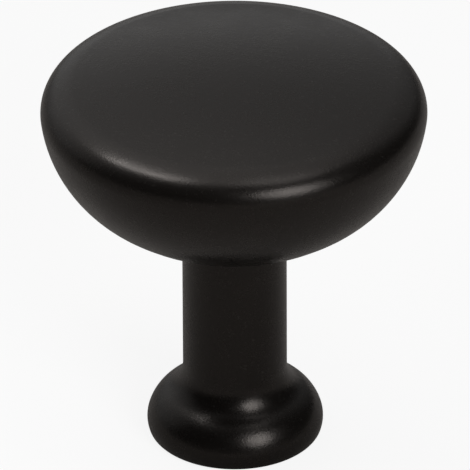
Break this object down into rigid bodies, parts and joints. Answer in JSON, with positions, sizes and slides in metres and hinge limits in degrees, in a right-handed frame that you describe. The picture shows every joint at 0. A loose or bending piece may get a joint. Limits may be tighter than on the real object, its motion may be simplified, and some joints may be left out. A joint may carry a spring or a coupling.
{
  "type": "cabinet knob",
  "caption": "Round mushroom-shaped cabinet knob with a crowned face, a slim stem and a flared foot that has a blind screw hole in its flat base.",
  "frame": {"origin": "centre of the foot's flat base", "axes": "+Z along the knob's axis, from the base towards the crowned face; X and Y lie in the base"},
  "size_m": [0.032, 0.032, 0.0344],
  "materials": {
    "black_coat": "matte black coat on die-cast zinc alloy"
  },
  "bodies": {
    "root": {"knob": "black_coat"}
  },
  "joints": []
}
